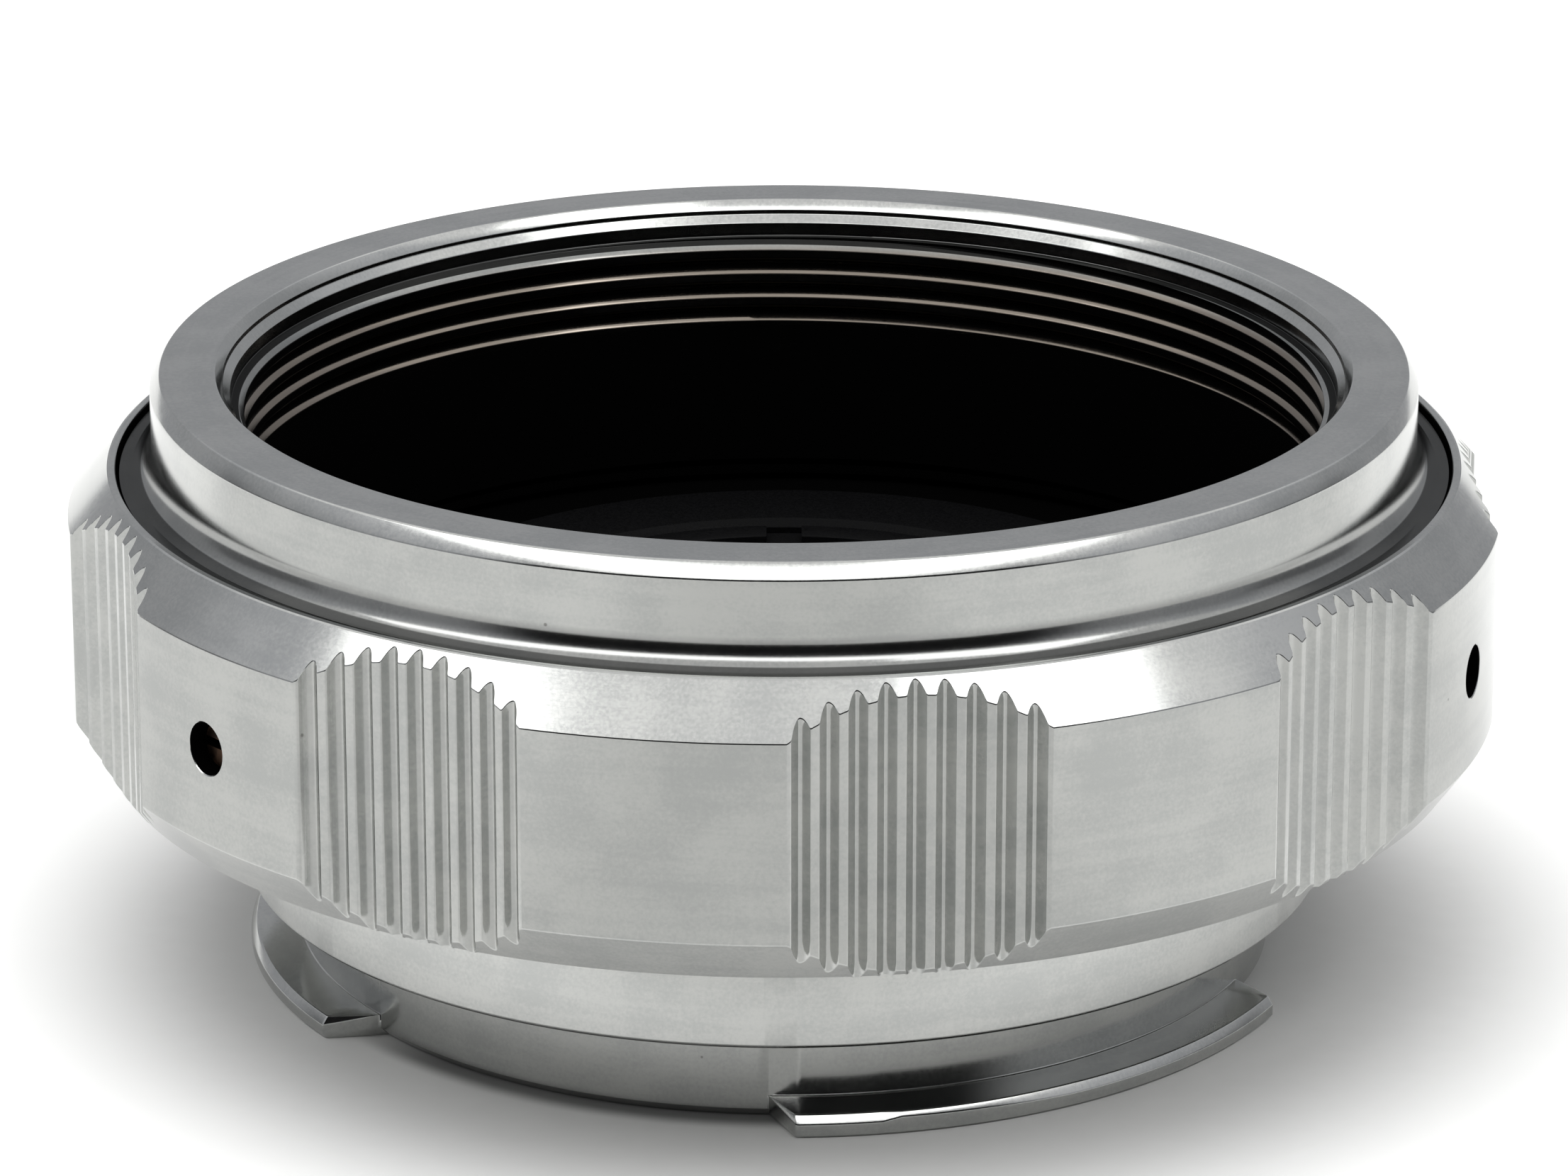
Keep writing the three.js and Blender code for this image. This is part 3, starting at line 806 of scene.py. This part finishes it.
# ---- stage ----
def floor():
    """Pale floor with a painted white glow round the object, and painted shade in front of it, beneath it and at
    its foot.
    """
    material = bpy.data.materials.new("pale_floor")
    graph = Graph(material)
    place, x, y, _, radius = polar(graph)
    fibre = graph.noise(place, 0.8, detail=4.0)
    # painted light: the glow starts a little way out, and is less in front of the object and far from it
    centred = graph.math("SUBTRACT", x, 1.3)
    around_object = graph.step(length_of(graph, centred, y), 21.5, 34.5)
    beside = graph.step(graph.math("ABSOLUTE", x), 18.0, 46.0)
    ahead = graph.product(graph.step(y, -43.0, -27.0, 1, 0), graph.without(beside))
    away = graph.product(graph.step(radius, 37.0, 47.0), graph.step(y, 12.0, 35.0, 0.6, 0.0))
    glow = graph.product(around_object, graph.without(ahead), graph.without(away), 0.46)
    # painted shade in front of the object, and a painted contact shadow where it stands
    near = graph.step(radius, 24.0, 34.0, 1, 0)
    front = graph.product(graph.step(y, -26.0, -8.0, 1, 0), near)
    shade = graph.without(graph.product(front, 0.12))
    contact_shadow = graph.product(graph.step(radius, NECK_R + 0.1, NECK_R + 1.1, 0.7, 0.0),
                            graph.step(y, -14.0, -9.0, 1, 0))
    pale = graph.node("ShaderNodeVectorMath", operation="SCALE", inputs={
        0: graph.mix(fibre, *FLOOR), "Scale": graph.product(shade, graph.without(contact_shadow))}).outputs[0]
    shader = graph.node("ShaderNodeBsdfPrincipled", inputs={
        "Base Color": pale, "Roughness": 0.9,
        "Specular IOR Level": 0.1, "Emission Color": (1, 1, 1, 1), "Emission Strength": glow})
    graph.output(shader.outputs[0])
    edge = 3000
    disc = solid("floor", [turned([[0, -1], [edge, -1], [edge, 0], [0, 0]], 0.0, 128, 2)])
    disc.data.materials.append(material)


def studio_light():
    """Soft light from all round, drawn by direction, as seen from the object.

    A white room overhead, grey light low down with a darker curtain at each side, and a broad bright panel
    above the front. The camera itself sees plain white.
    """
    world = bpy.data.worlds.new("studio")
    bpy.context.scene.world = world
    graph = Graph(world)
    toward = graph.node("ShaderNodeTexCoord").outputs["Generated"]
    split = graph.node("ShaderNodeSeparateXYZ", inputs={0: toward})
    x, y, z = split.outputs
    degree = 180 / math.pi
    azimuth = graph.product(graph.math("ARCTAN2", x, graph.product(y, -1)), degree)
    elevation = graph.product(graph.math("ARCSINE", z), degree)
    side = graph.math("ABSOLUTE", azimuth)
    # low down: nearly dark in front, grey beside and behind
    curtain = graph.product(graph.step(side, 86, 94), graph.step(side, 114, 124, 1, 0),
                            graph.step(elevation, 14, 21, 0.5, 0.0))
    low_light = graph.product(graph.step(side, 42, 62, 0.012, 0.44), graph.step(elevation, 20, 36, 1.0, 1.5),
                              graph.without(curtain))
    room = graph.step(elevation, 37, 42)
    base = graph.math("ADD", graph.product(low_light, graph.without(room)), graph.product(room, 1.05))
    # the panel's upper edge is higher to the right, and its lower edge rises slightly that way
    panel_top = graph.math("ADD", graph.step(azimuth, -80, -74, 49, 54), graph.step(azimuth, 24, 30, 0, 8))
    panel_low = graph.math("ADD", 43.0, graph.product(azimuth, 0.02))
    above = graph.math("SUBTRACT", elevation, panel_low)
    below = graph.math("SUBTRACT", panel_top, elevation)
    panel = graph.product(graph.step(azimuth, -96, -92), graph.step(azimuth, 74, 78, 1, 0),
                          graph.step(above, -0.7, 0.7), graph.step(below, -1.5, 1.5), 2.6)
    light = graph.math("ADD", base, panel)
    tint = graph.mix(room, (0.975, 0.99, 1.03, 1), (1, 1, 1, 1))
    lit = graph.node("ShaderNodeBackground", inputs={"Color": tint, "Strength": light})
    seen = graph.node("ShaderNodeBackground", inputs={"Color": (1, 1, 1, 1), "Strength": 1.0})
    camera_ray = graph.node("ShaderNodeLightPath").outputs["Is Camera Ray"]
    blend = graph.node("ShaderNodeMixShader", inputs={0: camera_ray, 1: lit.outputs[0], 2: seen.outputs[0]})
    graph.output(blend.outputs[0], "ShaderNodeOutputWorld")


def camera():
    data = bpy.data.cameras.new("camera")
    data.sensor_width = 36
    data.lens = 166.8
    data.clip_start = 0.01
    data.clip_end = 10
    made = bpy.data.objects.new("camera", data)
    made.location = (0, -0.2628, 0.1061)
    made.rotation_euler = (math.radians(70.68), 0, 0)
    bpy.context.scene.collection.objects.link(made)
    bpy.context.scene.camera = made


# ---- assembly ----
def inside_black(below, inside):
    """Mask for matte black paint below a height and inside a radius."""
    def mask(graph, radius, z):
        deep = graph.step(z, below - 0.05, below + 0.05, 1, 0)
        within = graph.step(radius, inside - 0.05, inside + 0.05, 1, 0)
        return graph.product(deep, within)
    return mask


def ring_black(graph, radius, z):
    """The bore below the thread, the black left in the thread, and darkening on the flange, below it and on the
    cove above it.
    """
    bore = inside_black(RING_TOP - THREAD_BOTTOM_DEPTH - 0.03, THREAD_MINOR + 0.2)(graph, radius, z)
    # the paint is worn off the crests' upper edges, and thinner on the ledge's wall above the thread
    worn = graph.product(graph.step(radius, THREAD_MINOR + 0.010, THREAD_MINOR + 0.025),
                         graph.step(radius, THREAD_MINOR + 0.19, THREAD_MINOR + 0.21, 1, 0))
    ledge = graph.step(radius, THREAD_MINOR + 0.46, THREAD_MINOR + 0.50, 0, 0.16)
    left = graph.math("SUBTRACT", graph.math("SUBTRACT", 0.95, ledge), graph.product(worn, 0.62))
    thread = graph.product(inside_black(RING_TOP - 1.27, RING_R - 2)(graph, radius, z), left)
    # darkening, heavy on the flange and below it, and lighter on the cove above it
    flange_darkening = graph.math("MAXIMUM", graph.step(z, FLANGE_TOP + 0.20, FLANGE_TOP + 0.27, 0.80, 0),
                     graph.step(z, FLANGE_TOP + 0.9, FLANGE_TOP + 1.25, 0.35, 0))
    outside = graph.product(flange_darkening, graph.step(radius, RING_R - 0.5, RING_R - 0.4))
    return graph.math("MAXIMUM", bore, graph.math("MAXIMUM", thread, outside))


def grip_black(graph, radius, z):
    """The grip ring's black bore, and painted shade in its screw holes."""
    black = inside_black(GRIP_TOP - 0.12, RECESS_R)(graph, radius, z)
    place = graph.node("ShaderNodeTexCoord").outputs["Object"]
    for name in SCREW_NAMES:
        turn = math.radians(azimuth_of(name))
        out = (math.sin(turn), -math.cos(turn), 0)
        level = graph.vector_math("SUBTRACT", place, (0, 0, LOCK_Z * MM))
        beside = graph.vector_math("CROSS_PRODUCT", level, out)
        distance = graph.vector_math("LENGTH", beside, output="Value")
        along = graph.vector_math("DOT_PRODUCT", level, out, output="Value")
        # painted shade: each screw hole's wall is blacked, standing in for the shade inside the hole
        hole = graph.product(graph.math("LESS_THAN", distance, (SCREW_HOLE_R + 0.015) * MM),
                             graph.math("GREATER_THAN", along, 0))
        black = graph.math("MAXIMUM", black, hole)
    return black


def thread_tint(graph, radius, z):
    """Brown tint of lubricant in the thread."""
    deep = graph.step(z, RING_TOP - 2.0, RING_TOP - 1.6, 0.75, 0.0)
    within = graph.step(radius, THREAD_MINOR + 0.6, THREAD_MINOR + 0.7, 1, 0)
    return graph.product(deep, within)


camera()
bpy.context.scene.view_settings.view_transform = "Standard"
studio_light()
floor()

ring_chrome = satin_chrome("satin_chrome_ring", ring_black, thread_tint)
grip_chrome = satin_chrome("satin_chrome_grip", grip_black)
mount_chrome = satin_chrome("satin_chrome_mount", inside_black(SKIRT_TOP + 1, NECK_BORE_R + 0.15))
screw_steel = coloured_metal("screw_steel", STEEL)
brass = coloured_metal("brass", BRASS)
washer_inside = inside_black(RING_TOP, extent("slip_washer")[0] + 0.8)
washer_brass = coloured_metal("brass_washer", BRASS, blacked=washer_inside)
black_screw = coloured_metal("black_screw", BLACKENED, metallic=0.6)
anodised = black_anodised("black_anodised")
glass = coated_glass("coated_glass")

finish_piece(thread_ring(), "thread_ring", ring_chrome)
finish_piece(grip_ring(), "grip_ring", grip_chrome, sharp=16)
finish_piece(bayonet_mount(), "bayonet_mount", mount_chrome)
for name in SCREW_NAMES:
    finish_piece(lock_screw(name), name, screw_steel)
for name in PAD_NAMES:
    finish_piece(lock_pad(name), name, brass)
for name, spin in zip(MOUNT_SCREW_NAMES, MOUNT_SPINS):
    finish_piece(mount_screw(name, spin), name, black_screw)
finish_piece(plain_ring("slip_washer", 0.08), "slip_washer", washer_brass)
finish_piece(lens_cell(), "lens_cell", anodised)
finish_piece(plain_ring("lens_spacer", 0.05), "lens_spacer", anodised)
for name in LENSES:
    finish_piece(lens(name), name, glass)
retainer = spanner_ring("lens_retaining_ring", 0.08, 0.35, top=True)
finish_piece(retainer, "lens_retaining_ring", anodised)
lock_ring = spanner_ring("cell_lock_ring", 0.1, 0.5, top=False)
finish_piece(lock_ring, "cell_lock_ring", anodised)
